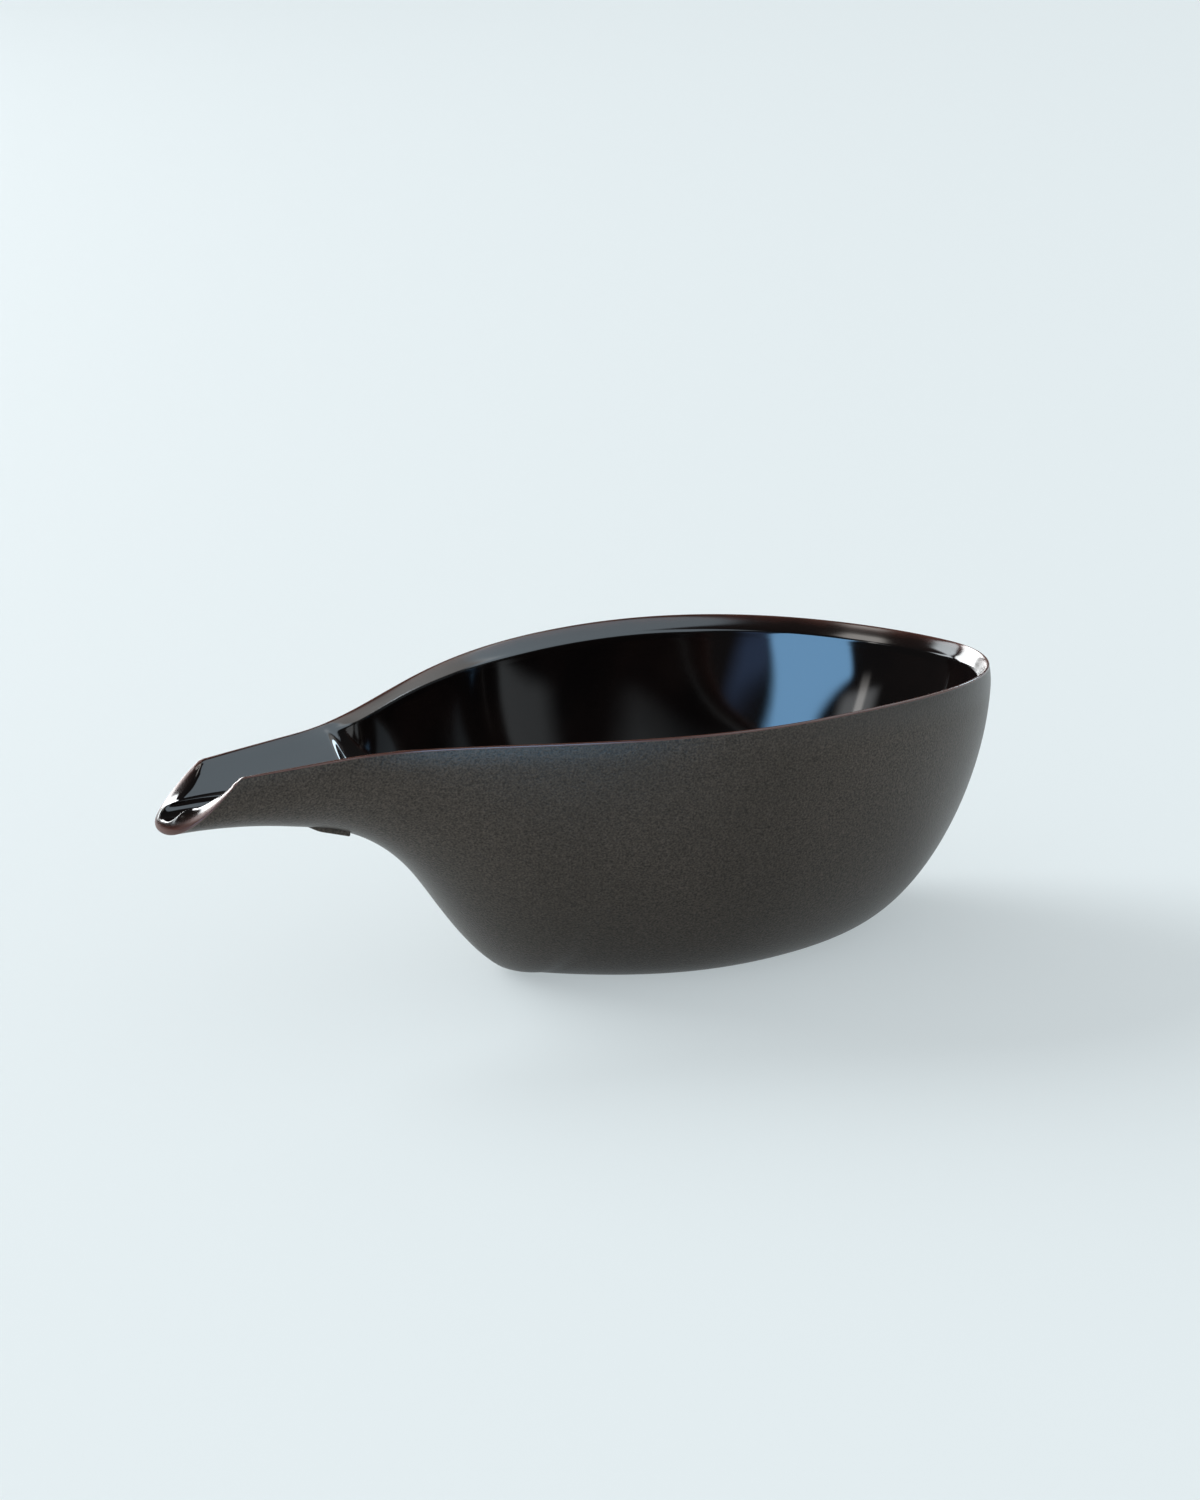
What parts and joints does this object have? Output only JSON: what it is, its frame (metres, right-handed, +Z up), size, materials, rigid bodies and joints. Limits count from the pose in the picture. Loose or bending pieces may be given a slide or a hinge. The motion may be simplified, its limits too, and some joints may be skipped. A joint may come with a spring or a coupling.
{
  "type": "sake pourer",
  "caption": "Leaf-shaped stoneware sake pourer with an open trough spout and a flat foot, matt dark clay outside and black glaze inside.",
  "frame": {"origin": "on the plane the foot rests on, under the widest place of the bowl", "axes": "+Z up from the foot, -X along the spout towards its lip, +X towards the stern, Y across; the part is symmetric about Y = 0"},
  "size_m": [0.2009, 0.091, 0.0574],
  "materials": {
    "stoneware": "unglazed, matt, finely pebbled",
    "black_glaze": "glossy iron-black glaze",
    "rim_glaze": "glossy, thin, breaking to red-brown"
  },
  "bodies": {
    "root": {"base": "stoneware", "bowl_wall": "stoneware", "spout": "stoneware", "drip_tab": "stoneware", "bowl_glaze": "black_glaze", "spout_glaze": "black_glaze", "rim_glaze": "rim_glaze"}
  },
  "joints": []
}
